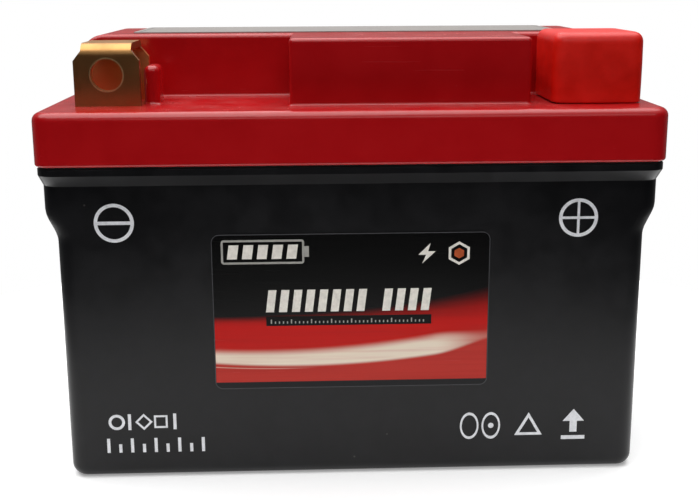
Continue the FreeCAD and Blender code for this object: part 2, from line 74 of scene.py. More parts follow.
# Terminals: the bolt hole, and the depths between which the brighter brass (a painted reflection
# inside, a painted highlight round the hole) begins or ends
HOLE_BELOW_TOP = 5.4 * MM
HOLE_RADIUS = 2.75 * MM
HIGHLIGHT_OUTSIDE_HOLE = (0.32 * MM, 0.12 * MM)
FRONT_PLATE_BACK = (1.6 * MM, 1.4 * MM)
REFLECTION_BEHIND_FRONT = (2.0 * MM, 4.0 * MM)
REFLECTION_BELOW_TOP = (1.4 * MM, 2.4 * MM)

# Soft cap
CAP_CUTS = 22
CAP_TOP_CLEAR = 0.02 * MM
CAP_WAVES = ((190.0, 1.0), (420.0, 0.5))     # how close the waves are, and their share
CAP_CALM_TOP = 0.4
HEEL_REACH = 4.0 * MM
HEEL_TOP = 0.5
LIP_WIDTH = 0.22 * MM

# Labels, in millimetres
LABEL_CORNER = 1.4
LABEL_FOOT = (1.2, 1.3)
FILM_EDGE = 0.07
TOP_FRAME_INSET = 1.1
RED_EDGE = -1.9
RED_RISE = 2.6
RED_BLUR = 0.95
SWEEP_LOW = -8.6
SWEEP_BEND = 1.735
SWEEP_WIDTH = 1.45
SWEEP_GROWTH = 0.4
THREAD_BELOW_SWEEP = 1.75

# Shapes on the front label, in millimetres from its left and top edges
CELL_OUTLINE = (1.7, 16.0, -5.3, -1.0)
CELL_LINE = 0.36
CELL_NUB = (16.0, 16.8, -4.1, -2.2)
CHARGE_HEIGHTS = [2.5] * 5
TEXT_LEFT = 9.2
STRIP_BOX = (TEXT_LEFT, 38.1, -16.5, -14.8)
HEADING_HEIGHTS = [4.0] * 8 + [None] + [4.0] * 4
TICK_HEIGHTS = ([0.75] + [0.4] * 4) * 7 + [0.75] + [0.4] * 3
BOLT_PLACE = (37.2, -3.75)
BOLT = ((0.6, 1.8), (-1.5, -0.25), (-0.15, -0.25), (-0.8, -1.8), (1.5, 0.35), (0.2, 0.35))
HEXAGON_PLACE = (42.8, -3.8)
HEXAGON_TURN = math.radians(30.0)

# Shapes low on the case, in millimetres from its middle and its base; a ring is x, radius, sides, turn
CODE_Z = 9.2
CODE_HEIGHT = 3.0
CODE_RINGS = ((-42.2, 1.2, 64, 0.0), (-37.4, 1.3, 4, 0.0), (-34.4, 1.45, 4, math.radians(45.0)))
CODE_BARS_X = (-40.2, -32.2)
CODE_BAR = 0.55
RATING_PLACE = (-44.1, 4.9)
RATING_PITCH = 2.1
RATING_HEIGHTS = [2.7, 1.6] * 4 + [2.7]
SYMBOL_Z = 8.8
ROUNDS_X = (20.7, 24.6)
ROUND_RADIUS = 2.3
ROUND_STRETCH = 0.66
TRIANGLE_X = 31.4
TRIANGLE_RADIUS = 2.4
ARROW_X = 39.55
ARROW_BASE = (-2.15, 2.15, -2.9, -2.2)
ARROW = ((-0.65, -1.5), (0.65, -1.5), (0.65, 0.6), (1.95, 0.6), (0.0, 2.9), (-1.95, 0.6),
         (-0.65, 0.6))
SYMBOL_LINE = 0.5

# Fixed colours
DUST = (0.42, 0.40, 0.37, 1.0)
# Painted light on the terminals: a painted reflection on the inside of the back plate, and a painted
# highlight round the bolt hole
PAINTED_REFLECTION_BRASS = (0.95, 0.46, 0.17, 1.0)
PAINTED_HIGHLIGHT_BRASS = (1.0, 0.74, 0.36, 1.0)
STREAK_RED = (0.30, 0.008, 0.006, 1.0)
BORDER_BLACK = (0.008, 0.008, 0.009, 1.0)
BORDER_LINE_GREY = (0.14, 0.14, 0.15, 1.0)
FILM_DEEP = (0.27, 0.25, 0.24, 1.0)
FILM_PALE = (0.30, 0.28, 0.265, 1.0)
FILM_FRAME_GREY = (0.06, 0.06, 0.065, 1.0)
# Pouch foil: the deeper tone is painted shade in the crease hollows
FOIL_CREASE_SHADE = (0.50, 0.51, 0.54, 1.0)
FOIL_PALE = (0.66, 0.67, 0.70, 1.0)
MASK_GREEN = (0.03, 0.20, 0.07, 1.0)
TRACK_GREEN = (0.012, 0.10, 0.035, 1.0)
BLOTCH_GREEN = (0.01, 0.07, 0.03, 1.0)
FLOOR_GREY = (0.88, 0.88, 0.88, 1.0)
FLOOR_PALE = (0.92, 0.92, 0.92, 1.0)
STUDIO_FRONT = (0.02, 0.02, 0.022, 1.0)
STUDIO_BACK = (0.16, 0.16, 0.16, 1.0)
STUDIO_TOP = (0.8, 0.8, 0.8, 1.0)
WHITE = (1.0, 1.0, 1.0, 1.0)

# Stage, in metres: each light's name, the setting with its power, its size and its place
FLOOR_RADIUS = 0.13
FLOOR_GLOW = 0.28
LIGHTS = (
    ("overhead", "key", (1.0, 0.8), (-0.06, 0.05, 0.64)),
    ("front", "front", (0.36, 0.10), (0.05, -0.46, 0.30)),
    ("rim", "rim", (0.5, 0.25), (0.0, 0.42, 0.30)),
)


# Settings

def length_setting(name, description, default):
    """A size in metres, whose default is given in millimetres."""
    return bpy.props.FloatProperty(name=name, description=description, default=default * MM,
                                   unit="LENGTH", precision=5)


def colour_setting(name, description, default):
    return bpy.props.FloatVectorProperty(name=name, description=description, default=default,
                                         subtype="COLOR", size=3, min=0.0, max=1.0)


def share_setting(name, description, default):
    return bpy.props.FloatProperty(name=name, description=description, default=default,
                                   subtype="FACTOR", min=0.0, max=1.0)


class BatteryColours(bpy.types.PropertyGroup):
    lid: colour_setting("Lid", "Red of the moulded lid", (0.44, 0.0038, 0.0060))
    case: colour_setting("Case", "Black of the moulded case", (0.0028, 0.0028, 0.0036))
    cap: colour_setting("Cap", "Red of the soft terminal cap", (0.80, 0.010, 0.003))
    ink: colour_setting("Ink", "Pale grey of the printed marks", (0.86, 0.87, 0.90))
    brass: colour_setting("Brass", "Clean brass of the terminals", (0.48, 0.25, 0.09))
    tarnish: colour_setting("Tarnish", "Darkened brass away from the edges", (0.27, 0.15, 0.06))
    label_red: colour_setting("Label red", "Strong red of the front label", (0.54, 0.004, 0.001))
    label_coral: colour_setting("Label coral", "Softer red below the sweep", (0.50, 0.030, 0.020))
    label_cream: colour_setting("Label cream", "Pale sweep across the label", (0.92, 0.84, 0.68))
    label_black: colour_setting("Label black", "Upper ground of the label", (0.002, 0.002, 0.002))


class BatteryFinish(bpy.types.PropertyGroup):
    lid_roughness: share_setting("Lid roughness", "Gloss of the lid", 0.22)
    case_roughness: share_setting("Case roughness", "Gloss of the case", 0.33)
    cap_roughness: share_setting("Cap roughness", "Sheen of the soft cap", 0.38)
    brass_roughness: share_setting("Brass roughness", "Gloss of the terminals", 0.34)
    dust: share_setting("Dust", "Dust that has settled on the plastics", 0.16)


class BatteryPrint(bpy.types.PropertyGroup):
    ring_radius: length_setting("Ring radius", "Polarity ring, to the middle of its line", 3.1)
    minus_x: length_setting("Minus place", "Middle of the minus mark from the battery's middle", -40.8)
    plus_x: length_setting("Plus place", "Middle of the plus mark from the battery's middle", 38.9)
    mark_z: length_setting("Mark height", "Middle of the polarity marks above the base", 47.0)
    minus_line: length_setting("Minus line", "Line width of the rings and the minus mark", 0.6)
    plus_line: length_setting("Plus line", "Line width of the plus mark", 0.45)
    ink_lift: length_setting("Ink thickness", "Ink above the surface it is printed on", 0.03)


class BatteryCap(bpy.types.PropertyGroup):
    wall: length_setting("Wall", "Thickness of the soft cap", 1.0)
    corner: length_setting("Corner", "Outer corner radius of the soft cap", 1.75)
    waviness: length_setting("Waviness", "How far the soft walls wander", 0.10)
    heel: length_setting("Heel", "How much higher the inner lower edge sits", 0.12)


class BatteryStage(bpy.types.PropertyGroup):
    key: bpy.props.FloatProperty(name="Overhead light", description="Power of the overhead light",
                                 default=6.8, unit="POWER", min=0.0)
    front: bpy.props.FloatProperty(name="Front light", description="Power of the low front light",
                                   default=0.2, unit="POWER", min=0.0)
    rim: bpy.props.FloatProperty(name="Rim light", description="Power of the light from behind",
                                 default=0.12, unit="POWER", min=0.0)
    camera_x: length_setting("Camera across", "Camera place along the battery's length", -6.4)
    camera_y: length_setting("Camera distance", "Camera place in front of the battery", -198.5)
    camera_z: length_setting("Camera height", "Camera height above the floor", 87.0)
    lens: bpy.props.FloatProperty(name="Lens", description="Focal length", default=53.37, unit="CAMERA")
    pitch: bpy.props.FloatProperty(name="Pitch", description="How far the camera looks down",
                                   default=math.radians(12.33), subtype="ANGLE")
    yaw: bpy.props.FloatProperty(name="Yaw", description="How far the camera looks to the right",
                                 default=math.radians(1.9), subtype="ANGLE")
    roll: bpy.props.FloatProperty(name="Roll", description="Tilt of the camera", subtype="ANGLE",
                                  default=math.radians(-0.274))
    shift: bpy.props.FloatProperty(name="Shift", description="Vertical lens shift", default=-0.06)


# Shader building

class Tree:
    """Adds nodes to one shader tree, and links or sets their inputs."""

    def __init__(self, tree):
        self.tree = tree
        self.count = 0

    def node(self, kind, **settings):
        made = self.tree.nodes.new(kind)
        for name, value in settings.items():
            setattr(made, name, value)
        made.location = (180 * (self.count % 8), -220 * (self.count // 8))
        self.count += 1
        return made

    def put(self, socket, value):
        if isinstance(value, bpy.types.NodeSocket):
            self.tree.links.new(value, socket)
        elif value is not None:
            socket.default_value = value

    def math(self, operation, first, second=None, third=None, clamp=False):
        made = self.node("ShaderNodeMath", operation=operation, use_clamp=clamp)
        for socket, value in zip(made.inputs, (first, second, third)):
            self.put(socket, value)
        return made.outputs[0]

    def dot(self, first, second):
        made = self.node("ShaderNodeVectorMath", operation="DOT_PRODUCT")
        self.put(made.inputs[0], first)
        self.put(made.inputs[1], second)
        return made.outputs["Value"]

    def smooth(self, value, low, high, to_low=0.0, to_high=1.0):
        """Smooth change from to_low to to_high while value goes from low to high."""
        made = self.node("ShaderNodeMapRange", interpolation_type="SMOOTHSTEP")
        for name, given in (("Value", value), ("From Min", low), ("From Max", high),
                            ("To Min", to_low), ("To Max", to_high)):
            self.put(made.inputs[name], given)
        return made.outputs[0]

    def mix(self, share, first, second):
        """Mix of two colours."""
        made = self.node("ShaderNodeMix", data_type="RGBA")
        self.put(made.inputs[0], share)
        self.put(made.inputs[6], first)
        self.put(made.inputs[7], second)
        return made.outputs[2]

    def noise(self, vector, scale, detail=3.0, roughness=0.55):
        made = self.node("ShaderNodeTexNoise")
        self.put(made.inputs["Vector"], vector)
        self.put(made.inputs["Scale"], scale)
        self.put(made.inputs["Detail"], detail)
        self.put(made.inputs["Roughness"], roughness)
        return made.outputs["Fac"]

    def dusted(self, colour, dusty, share=0.5):
        """A colour under part of the dust."""
        return self.mix(self.math("MULTIPLY", dusty, share), colour, DUST)

    def place(self):
        """Position in the part's frame, in metres, because every mesh is kept at the origin."""
        return self.node("ShaderNodeTexCoord").outputs["Object"]

    def parts(self, vector):
        split = self.node("ShaderNodeSeparateXYZ")
        self.put(split.inputs[0], vector)
        return split.outputs

    def off_middle(self, part, middle):
        """How far one part of the position is from a middle, in millimetres."""
        return self.math("MULTIPLY", self.math("SUBTRACT", part, middle), 1 / MM)

    def stretched(self, vector, x, y, z):
        made = self.node("ShaderNodeMapping")
        self.put(made.inputs["Vector"], vector)
        made.inputs["Scale"].default_value = (x, y, z)
        return made.outputs[0]

    def bump(self, height, strength, distance):
        made = self.node("ShaderNodeBump")
        made.inputs["Strength"].default_value = strength
        made.inputs["Distance"].default_value = distance
        self.put(made.inputs["Height"], height)
        return made.outputs[0]

    def group(self, name, **values):
        made = self.node("ShaderNodeGroup")
        made.node_tree = bpy.data.node_groups[name]
        for key, value in values.items():
            self.put(made.inputs[key.replace("_", " ").capitalize()], value)
        return made.outputs

    def cover(self, shader, colour, roughness, normal):
        """Joins a finish to a principled shader."""
        for name, value in (("Base Color", colour), ("Roughness", roughness), ("Normal", normal)):
            self.put(shader.inputs[name], value)


def new_group(name, inputs, outputs):
    """A shader group with float sockets; returns its tree, input node and output node."""
    made = bpy.data.node_groups.new(name, "ShaderNodeTree")
    for socket, default in inputs:
        made.interface.new_socket(socket, in_out="INPUT",
                                  socket_type="NodeSocketFloat").default_value = default
    for socket in outputs:
        made.interface.new_socket(socket, in_out="OUTPUT", socket_type="NodeSocketFloat")
    tree = Tree(made)
    return tree, tree.node("NodeGroupInput"), tree.node("NodeGroupOutput")


def build_moulded_surface():
    """Slow waves left by moulding and a fine grain, as a height and a tone."""
    tree, given, out = new_group("Moulded surface", [("Wave size", 60.0), ("Grain size", 1800.0),
                                                     ("Grain", 0.2)], ["Height", "Tone"])
    place = tree.place()
    wave = tree.noise(place, given.outputs["Wave size"], 1.0)
    grain = tree.noise(place, given.outputs["Grain size"], 4.0, 0.7)
    tree.put(out.inputs["Height"], tree.math("MULTIPLY_ADD", grain, given.outputs["Grain"], wave))
    tone = tree.noise(place, tree.math("MULTIPLY", given.outputs["Wave size"], 3.0), 5.0, 0.6)
    tree.put(out.inputs["Tone"], tone)


def build_handling_marks():
    """Fine straight scuffs in two directions, as a mask."""
    tree, given, out = new_group("Handling marks", [("Size", 1.0), ("Amount", 0.5)], ["Mask"])
    place = tree.place()
    masks = []
    for turn, threshold in ((0.55, 0.70), (-0.75, 0.73)):
        rotate = tree.node("ShaderNodeMapping")
        tree.put(rotate.inputs["Vector"], place)
        rotate.inputs["Rotation"].default_value = (turn * 0.4, turn, turn * 0.7)
        rotate.inputs["Scale"].default_value = (40.0, 1500.0, 1500.0)
        lines = tree.noise(rotate.outputs[0], given.outputs["Size"], 2.0)
        masks.append(tree.smooth(lines, threshold, threshold + 0.06))
    patches = tree.smooth(tree.noise(place, 90.0), 0.45, 0.65)
    both = tree.math("MAXIMUM", masks[0], masks[1])
    seen = tree.math("MULTIPLY", both, patches)
    tree.put(out.inputs["Mask"], tree.math("MULTIPLY", seen, given.outputs["Amount"], clamp=True))


def build_settled_dust():
    """Dust on upward faces, and a few specks anywhere, as a mask."""
    tree, given, out = new_group("Settled dust", [("Amount", 0.3), ("Specks", 0.5)], ["Mask"])
    place = tree.place()
    upward = tree.parts(tree.node("ShaderNodeNewGeometry").outputs["Normal"])["Z"]
    film = tree.math("MULTIPLY", tree.smooth(upward, 0.3, 1.0),
                     tree.smooth(tree.noise(place, 160.0, 6.0, 0.7), 0.35, 0.8))
    film = tree.math("MULTIPLY", film, given.outputs["Amount"])
    cells = tree.node("ShaderNodeTexVoronoi")
    tree.put(cells.inputs["Vector"], place)
    cells.inputs["Scale"].default_value = 330.0
    dots = tree.smooth(cells.outputs["Distance"], 0.04, 0.075, 1.0, 0.0)
    shade = tree.node("ShaderNodeSeparateColor")
    tree.put(shade.inputs[0], cells.outputs["Color"])
    chosen = tree.math("GREATER_THAN", shade.outputs[0], 0.93)
    specks = tree.math("MULTIPLY", tree.math("MULTIPLY", dots, chosen), given.outputs["Specks"])
    tree.put(out.inputs["Mask"], tree.math("MAXIMUM", film, specks, clamp=True))


def build_rubbed_edges():
    """Outer edges that handling has rubbed, as a mask."""
    tree, given, out = new_group("Rubbed edges", [("Reach", 0.0004), ("Break up", 300.0)], ["Mask"])
    round_off = tree.node("ShaderNodeBevel", samples=4)
    tree.put(round_off.inputs["Radius"], given.outputs["Reach"])
    flat = tree.node("ShaderNodeNewGeometry").outputs["Normal"]
    alike = tree.dot(round_off.outputs[0], flat)
    edge = tree.smooth(alike, 0.985, 0.86)
    worn = tree.smooth(tree.noise(tree.place(), given.outputs["Break up"], 4.0), 0.38, 0.6)
    tree.put(out.inputs["Mask"], tree.math("MULTIPLY", edge, worn, clamp=True))


SHARED_EFFECTS = (build_moulded_surface, build_handling_marks, build_settled_dust, build_rubbed_edges)
SHADER_SOCKETS = {
    "gloss": "Specular IOR Level",
    "metallic": "Metallic",
    "coat": "Coat Weight",
    "soft": "Subsurface Weight",
    "soft_reach": "Subsurface Radius",
    "roughness": "Roughness",
    "glow": "Emission Color",
    "glow_strength": "Emission Strength",
}


def new_material(name, **constants):
    """A material; returns it, its tree and its principled shader with these sockets set."""
    made = bpy.data.materials.new(name)
    made.use_nodes = True
    shader = made.node_tree.nodes["Principled BSDF"]
    for socket, value in constants.items():
        shader.inputs[SHADER_SOCKETS[socket]].default_value = value
    return made, Tree(made.node_tree), shader


def rgba(colour):
    return (*colour[:3], 1.0)


def lighter(colour, factor, lift=0.0):
    return [min(1.0, part * factor + lift) for part in colour[:3]]


def darker(colour, factor):
    return [part * factor for part in colour[:3]]


def moulded_plastic(name, colour, roughness, wave=0.10, grain=0.2, dust=0.2, specks=0.3, worn=0.25,
                    tone=0.22, gloss=0.5):
    """Moulded plastic: slow surface waves, fine grain, scuffs, rubbed edges and dust."""
    made, tree, shader = new_material(name, gloss=gloss)
    surface = tree.group("Moulded surface", grain=grain)
    scuffs = tree.group("Handling marks", amount=0.7)["Mask"]
    edges = tree.group("Rubbed edges")["Mask"]
    dusty = tree.group("Settled dust", amount=dust, specks=specks)["Mask"]
    base = tree.mix(tree.smooth(surface["Tone"], 0.3, 0.7), rgba(darker(colour, 1.0 - tone)),
                    rgba(lighter(colour, 1.0 + tone, 0.01 * tone)))
    base = tree.mix(tree.math("MULTIPLY", edges, worn), base, rgba(lighter(colour, 1.7, 0.02)))
    base = tree.dusted(base, dusty, 0.6)
    rough = tree.math("MULTIPLY_ADD", tree.math("SUBTRACT", surface["Tone"], 0.5), 0.16, roughness)
    rough = tree.math("MULTIPLY_ADD", scuffs, 0.22, rough)
    rough = tree.math("MULTIPLY_ADD", dusty, 0.4, rough, clamp=True)
    height = tree.math("MULTIPLY_ADD", scuffs, -0.06, surface["Height"])
    tree.cover(shader, base, rough, tree.bump(height, 0.25, wave * MM))
    return made


def metal(name, clean, dull, roughness, lines=(1.0, 60.0, 60.0), tarnish=0.5, bump=0.12,
          painted_light_parts=None):
    """Worked metal: drawn lines, patches of tarnish and bright rubbed edges; where given, it also adds
    painted light: a painted reflection and a painted highlight.
    """
    made, tree, shader = new_material(name, metallic=1.0)
    place = tree.place()
    drawn = tree.noise(tree.stretched(place, *lines), 90.0, 3.0, 0.65)
    patches = tree.smooth(tree.noise(place, 170.0, 5.0, 0.6), 0.35, 0.75)
    edges = tree.group("Rubbed edges", reach=0.00025)["Mask"]
    scuffs = tree.group("Handling marks", amount=0.9, size=1.4)["Mask"]
    base = tree.mix(tree.math("MULTIPLY", patches, tarnish), rgba(clean), rgba(dull))
    base = tree.mix(tree.math("MAXIMUM", edges, scuffs), base, rgba(lighter(clean, 1.12)))
    if painted_light_parts:
        # Painted light: a reflection painted on the inside of the back plate, and a highlight painted
        # round the bolt hole
        painted_reflection, rim = painted_light_parts(tree)
        base = tree.mix(painted_reflection, base, PAINTED_REFLECTION_BRASS)
        base = tree.mix(rim, base, PAINTED_HIGHLIGHT_BRASS)
    rough = tree.math("MULTIPLY_ADD", drawn, 0.14, roughness - 0.06)
    rough = tree.math("MULTIPLY_ADD", patches, 0.12, rough)
    rough = tree.math("MULTIPLY_ADD", edges, -0.1, rough, clamp=True)
    tree.cover(shader, base, rough, tree.bump(drawn, bump, 0.03 * MM))
    return made


def terminal_painted_light(tree):
    """Masks for painted light on a terminal: a painted reflection on the inside of its back plate, and
    a painted highlight on the rim round its bolt hole.
    """
    low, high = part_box("negative_terminal")
    parts = tree.parts(tree.place())
    # Painted reflection on the inside of the back plate, behind the front plate and below the top
    behind = tree.smooth(parts["Y"], *[low.y + depth for depth in REFLECTION_BEHIND_FRONT])
    under = tree.smooth(parts["Z"], *[high.z - depth for depth in REFLECTION_BELOW_TOP])
    painted_reflection = tree.math("MULTIPLY", behind, under)
    across = tree.math("ADD", tree.math("ABSOLUTE", parts["X"]), (low.x + high.x) / 2)
    up = tree.math("SUBTRACT", parts["Z"], high.z - HOLE_BELOW_TOP)
    square = tree.math("ADD", tree.math("MULTIPLY", across, across), tree.math("MULTIPLY", up, up))
    far = tree.math("SUBTRACT", tree.math("SQRT", square), HOLE_RADIUS)
    # Painted highlight on a thin rim round the bolt hole, on the front plate only
    rim = tree.smooth(far, *HIGHLIGHT_OUTSIDE_HOLE)
    front = tree.smooth(parts["Y"], *[low.y + depth for depth in FRONT_PLATE_BACK])
    return painted_reflection, tree.math("MULTIPLY", rim, front)


def foam(name, colour):
    """Closed-cell foam with small open pores on its cut faces."""
    made, tree, shader = new_material(name)
    pores = tree.node("ShaderNodeTexVoronoi")
    tree.put(pores.inputs["Vector"], tree.place())
    pores.inputs["Scale"].default_value = 1400.0
    depth = tree.smooth(pores.outputs["Distance"], 0.1, 0.6)
    tree.cover(shader, tree.mix(depth, rgba(colour), rgba(darker(colour, 0.35))),
               tree.math("MULTIPLY_ADD", depth, 0.15, 0.8), tree.bump(depth, 0.6, 0.2 * MM))
    return made


def ink(name, colour):
    """Pad-printed ink: slightly patchy, with a dry face."""
    made, tree, shader = new_material(name, gloss=0.15)
    patchy = tree.noise(tree.place(), 900.0, 5.0, 0.7)
    share = tree.smooth(patchy, 0.3, 0.75)
    tree.cover(shader, tree.mix(share, rgba(colour), rgba(darker(colour, 0.78))),
               tree.math("MULTIPLY_ADD", patchy, 0.2, 0.42), tree.bump(patchy, 0.2, 0.01 * MM))
    return made


def rounded_box_distance(tree, across, up, half_x, half_z, radius):
    """Distance outside a rectangle with round corners, negative inside."""
    side = tree.math("SUBTRACT", tree.math("ABSOLUTE", across), half_x - radius)
    over = tree.math("SUBTRACT", tree.math("ABSOLUTE", up), half_z - radius)
    outer_x = tree.math("MAXIMUM", side, 0.0)
    outer_z = tree.math("MAXIMUM", over, 0.0)
    corner = tree.math("SQRT", tree.math("ADD", tree.math("MULTIPLY", outer_x, outer_x),
                                         tree.math("MULTIPLY", outer_z, outer_z)))
    inner = tree.math("MINIMUM", tree.math("MAXIMUM", side, over), 0.0)
    return tree.math("SUBTRACT", tree.math("ADD", corner, inner), radius)


def label_film_material(colours):
    """Front label: black above, red below, a pale sweep that rises to the right, a clear border."""
    made, tree, shader = new_material("Front label print", gloss=0.16)
    middle = (LABEL_LOW + LABEL_HIGH) / 2
    half = (LABEL_HIGH - LABEL_LOW) / 2 / MM
    parts = tree.parts(tree.place())
    across = tree.off_middle(parts["X"], middle.x)
    up = tree.off_middle(parts["Z"], middle.z)
    share = tree.math("DIVIDE", across, half.x)

    wander = tree.noise(tree.stretched(tree.place(), 60.0, 1.0, 500.0), 1.0)
    rise = tree.math("POWER", tree.math("MULTIPLY_ADD", share, 0.5, 0.5, clamp=True), 2.5)
    blur = tree.math("MULTIPLY_ADD", rise, RED_RISE, RED_BLUR)
    edge = tree.math("MULTIPLY_ADD", rise, RED_RISE, tree.math("MULTIPLY_ADD", wander, 0.8, RED_EDGE))
    red = tree.smooth(tree.math("DIVIDE", tree.math("SUBTRACT", up, edge), blur), 1.0, -1.0)

    bend = tree.math("ADD", share, 0.5)
    centre = tree.math("MULTIPLY_ADD", tree.math("MULTIPLY", bend, bend), SWEEP_BEND, SWEEP_LOW)
    width = tree.math("MULTIPLY_ADD", share, SWEEP_GROWTH, SWEEP_WIDTH)
    width = tree.math("MULTIPLY", width, tree.smooth(share, 0.6, 1.05, 1.0, 0.25))
    offset = tree.math("SUBTRACT", up, centre)
    upper = tree.smooth(tree.math("SUBTRACT", offset, width), 0.8, -0.9)
    lower = tree.smooth(tree.math("ADD", offset, width), -0.32, 0.4)
    streaks = tree.noise(tree.stretched(tree.place(), 30.0, 1.0, 1100.0), 1.0, 3.0)
    sweep = tree.math("MULTIPLY", upper, lower)
    sweep = tree.math("MULTIPLY", sweep, tree.smooth(streaks, 0.2, 0.55, 0.62, 0.88))
    sweep = tree.math("MULTIPLY", sweep, tree.smooth(share, 1.0, 0.6, 0.2, 1.0))
    thread = tree.math("ABSOLUTE", tree.math("ADD", offset, THREAD_BELOW_SWEEP))
    thread = tree.smooth(thread, 0.16, 0.03)
    thread = tree.math("MULTIPLY", thread, tree.smooth(share, -0.2, -0.6, 0.0, 0.3))
    sweep = tree.math("MAXIMUM", sweep, thread)

    below = tree.smooth(offset, 2.6, -1.0)
    ground = tree.mix(below, rgba(colours.label_red), rgba(colours.label_coral))
    ground = tree.mix(tree.smooth(streaks, 0.4, 0.8, 0.0, 0.3), ground, STREAK_RED)
    picture = tree.mix(red, rgba(colours.label_black), ground)
    picture = tree.mix(sweep, picture, rgba(colours.label_cream))
    distance = rounded_box_distance(tree, across, up, half.x, half.z, LABEL_CORNER)
    foot = tree.smooth(up, *[height - half.z for height in LABEL_FOOT], 1.0, 0.0)
    border = tree.math("MAXIMUM", tree.smooth(distance, -0.26, -0.18), foot)
    line = tree.smooth(tree.math("ABSOLUTE", tree.math("ADD", distance, 0.09)), 0.09, 0.03)
    picture = tree.mix(border, picture, BORDER_BLACK)
    picture = tree.mix(tree.math("MULTIPLY", line, 0.5), picture, BORDER_LINE_GREY)
    dusty = tree.group("Settled dust", amount=0.1, specks=0.25)["Mask"]
    scuffs = tree.group("Handling marks", amount=0.6)["Mask"]
    picture = tree.dusted(picture, dusty)
    rough = tree.math("MULTIPLY_ADD", scuffs, 0.25, tree.math("MULTIPLY_ADD", streaks, 0.08, 0.22))
    ripple = tree.noise(tree.place(), 70.0, 1.0)
    tree.cover(shader, picture, rough, tree.bump(ripple, 0.12, 0.2 * MM))
    return made


def top_film_material():
    """Pale satin film with a thin printed frame."""
    made, tree, shader = new_material("Top label print", gloss=0.2)
    middle = (TOP_LABEL_LOW + TOP_LABEL_HIGH) / 2
    half = (TOP_LABEL_HIGH - TOP_LABEL_LOW) / 2 / MM
    parts = tree.parts(tree.place())
    across = tree.off_middle(parts["X"], middle.x)
    along = tree.off_middle(parts["Y"], middle.y)
    distance = rounded_box_distance(tree, across, along, half.x, half.y, LABEL_CORNER)
    line = tree.math("ABSOLUTE", tree.math("ADD", distance, TOP_FRAME_INSET))
    line = tree.smooth(line, 0.16, 0.08)
    fibre = tree.noise(tree.stretched(tree.place(), 700.0, 1100.0, 1.0), 1.0, 4.0, 0.7)
    paper = tree.mix(tree.smooth(fibre, 0.3, 0.7), FILM_DEEP, FILM_PALE)
    paper = tree.mix(tree.math("MULTIPLY", line, 0.85), paper, FILM_FRAME_GREY)
    dusty = tree.group("Settled dust", amount=0.35, specks=0.3)["Mask"]
    paper = tree.dusted(paper, dusty)
    tree.cover(shader, paper, tree.math("MULTIPLY_ADD", fibre, 0.15, 0.42),
               tree.bump(fibre, 0.1, 0.02 * MM))
    return made


def vinyl_material(colours, finish):
    """Soft vinyl: uneven sheen, faint sag marks, a little light through it."""
    made, tree, shader = new_material("Soft red vinyl", soft=0.12,
                                      soft_reach=(0.8 * MM, 0.1 * MM, 0.05 * MM))
    surface = tree.group("Moulded surface", wave_size=110.0, grain_size=2600.0, grain=0.12)
    scuffs = tree.group("Handling marks", amount=0.5)["Mask"]
    dusty = tree.group("Settled dust", amount=0.2, specks=0.35)["Mask"]
    base = tree.mix(tree.smooth(surface["Tone"], 0.25, 0.75), rgba(darker(colours.cap, 0.86)),
                    rgba(colours.cap))
    base = tree.dusted(base, dusty)
    rough = tree.math("MULTIPLY_ADD", tree.math("SUBTRACT", surface["Tone"], 0.5), 0.3,
                      finish.cap_roughness)
    rough = tree.math("MULTIPLY_ADD", scuffs, 0.2, rough)
    tree.cover(shader, base, rough, tree.bump(surface["Height"], 0.2, 0.2 * MM))
    return made


def pouch_foil():
    """Laminated foil of a pouch cell: satin silver with soft creases, painted darker in the crease
    hollows as shade.
    """
    made, tree, shader = new_material("Pouch foil", metallic=0.85)
    place = tree.place()
    creases = tree.noise(tree.stretched(place, 40.0, 90.0, 120.0), 1.0, 5.0, 0.6)
    fine = tree.noise(place, 700.0, 3.0)
    # Painted shade: darker where the crease height is low
    tree.cover(shader, tree.mix(tree.smooth(creases, 0.3, 0.7), FOIL_CREASE_SHADE, FOIL_PALE),
               tree.math("MULTIPLY_ADD", fine, 0.2, 0.28), tree.bump(creases, 0.5, 0.4 * MM))
    return made


def board_material():
    """Green solder mask with copper tracks showing faintly through it."""
    made, tree, shader = new_material("Green solder mask", coat=0.4)
    place = tree.place()
    tracks = tree.node("ShaderNodeTexBrick", offset=0.35, offset_frequency=3)
    tree.put(tracks.inputs["Vector"], place)
    tracks.inputs["Scale"].default_value = 120.0
    tracks.inputs["Mortar Size"].default_value = 0.035
    mask = tree.math("SUBTRACT", 1.0, tracks.outputs["Fac"])
    blotch = tree.noise(place, 300.0, 4.0)
    green = tree.mix(mask, MASK_GREEN, TRACK_GREEN)
    green = tree.mix(tree.smooth(blotch, 0.3, 0.8, 0.0, 0.4), green, BLOTCH_GREEN)
    tree.cover(shader, green, tree.math("MULTIPLY_ADD", blotch, 0.15, 0.25),
               tree.bump(mask, 0.3, 0.03 * MM))
    return made


def dress(material, *names):
    """Gives CAD nodes a material in place of the plain one they came with."""
    for name in names:
        slots = NODES[name].data.materials
        slots.clear()
        slots.append(material)


# Mesh building

def add_object(name, data):
    made = bpy.data.objects.new(name, data)
    bpy.context.scene.collection.objects.link(made)
    return made


def add_mesh(bm, name, material):
    """Turns a bmesh into an object with one material."""
    mesh = bpy.data.meshes.new(name)
    bm.to_mesh(mesh)
    bm.free()
    mesh.materials.append(material)
    return add_object(name, mesh)


def finish_mesh(bm, name, material, body="battery", smooth=False):
    """Turns a bmesh into a piece that rides on a body."""
    bmesh.ops.recalc_face_normals(bm, faces=bm.faces)
    made = add_mesh(bm, name, material)
    for face in made.data.polygons:
        face.use_smooth = smooth
    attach(made, body)
    return made


